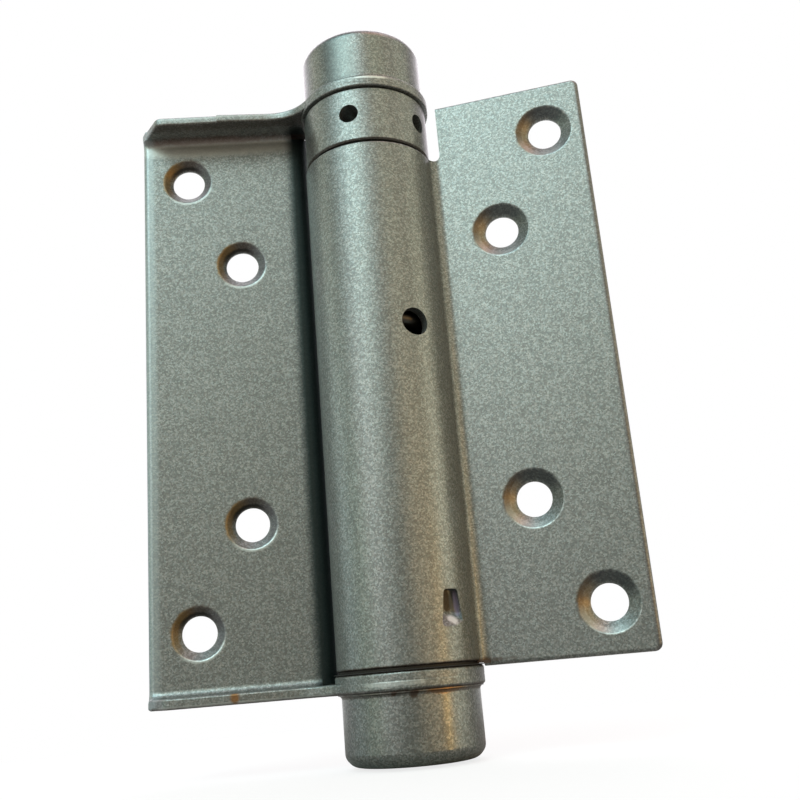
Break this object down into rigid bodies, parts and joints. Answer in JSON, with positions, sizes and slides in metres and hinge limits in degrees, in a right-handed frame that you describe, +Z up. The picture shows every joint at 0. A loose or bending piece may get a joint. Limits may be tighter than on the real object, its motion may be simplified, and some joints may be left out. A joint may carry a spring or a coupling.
{
  "type": "spring hinge",
  "caption": "Single-action helical spring hinge: a flanged leaf carries the pin, a leaf rolled round the torsion spring turns on it, with a tension collar, end caps and countersunk screw holes.",
  "frame": {"origin": "on the pin's axis, at the middle of the flanged leaf's height", "axes": "+Z up along the pin's axis, towards the tension collar; +X across the leaves towards the barrel leaf; +Y away from the viewer, through the flanged leaf's back"},
  "size_m": [0.077, 0.0226, 0.1206],
  "materials": {
    "leaf_paint": "silver-grey metallic flake paint, satin",
    "barrel_paint": "silver-grey metallic flake paint, satin",
    "collar_paint": "silver-grey metallic flake paint, satin",
    "cap_paint": "silver-grey metallic flake paint, satin",
    "washer_paint": "silver-grey paint, worn and stained at the joint",
    "pin_steel": "bright turned steel",
    "spring_steel": "dark oil-tempered wire",
    "seat_steel": "plain turned steel"
  },
  "bodies": {
    "jamb_leaf": {"flanged_leaf": "leaf_paint", "spindle": "pin_steel", "lower_thrust_washer": "washer_paint", "upper_thrust_washer": "washer_paint", "top_cap": "cap_paint", "bottom_cap": "cap_paint", "top_cap_seat": "seat_steel", "bottom_cap_seat": "seat_steel"},
    "door_leaf": {"barrel_leaf": "barrel_paint", "spring_anchor_plug": "seat_steel", "torsion_spring": "spring_steel"},
    "collar": {"tension_collar": "collar_paint"}
  },
  "joints": [
    {"name": "leaf_swing", "type": "hinge", "parent": "jamb_leaf", "child": "door_leaf", "pos_m": [0, 0, 0], "axis": [0, 0, 1], "range_deg": [-163.4, 16.6]},
    {"name": "collar_turn", "type": "hinge", "parent": "door_leaf", "child": "collar", "pos_m": [0, 0, 0], "axis": [0, 0, 1], "range_deg": [-270, 0], "stiffness_Nm_per_rad": 0.3, "deforming": ["torsion_spring"]}
  ]
}
